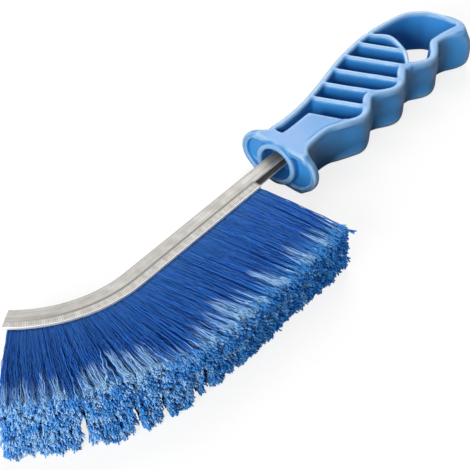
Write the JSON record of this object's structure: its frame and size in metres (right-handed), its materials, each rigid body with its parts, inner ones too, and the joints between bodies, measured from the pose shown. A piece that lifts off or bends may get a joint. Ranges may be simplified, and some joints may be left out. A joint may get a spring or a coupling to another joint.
{
  "type": "hand brush",
  "caption": "Bent strip hand brush: open-work moulded grip with guard and hang hole, folded steel channel with an angled front, and long filament bristles fanned along it.",
  "frame": {"origin": "bottom centre of the bounding box, on the surface that the brush lies on", "axes": "+X along the straight part of the strip towards the handle, +Y to the spine side (the bristles point to -Y), +Z square to the brush's flat sides"},
  "size_m": [0.2714, 0.0722, 0.0185],
  "materials": {
    "handle_plastic": "injection-moulded polypropylene, satin, light blue",
    "channel_steel": "roll-folded galvanised strip with fine lengthwise streaks",
    "core_steel": "drawn steel wire",
    "filament": "crimped synthetic filament, royal blue, paler at the tips"
  },
  "bodies": {
    "root": {"handle": "handle_plastic", "channel": "channel_steel", "core_wire": "core_steel", "bristle_bundle_01": "filament", "bristle_bundle_02": "filament", "bristle_bundle_03": "filament", "bristle_bundle_04": "filament", "bristle_bundle_05": "filament", "bristle_bundle_06": "filament", "bristle_bundle_07": "filament", "bristle_bundle_08": "filament", "bristle_bundle_09": "filament", "bristle_bundle_10": "filament", "bristle_bundle_11": "filament", "bristle_bundle_12": "filament"}
  },
  "joints": []
}
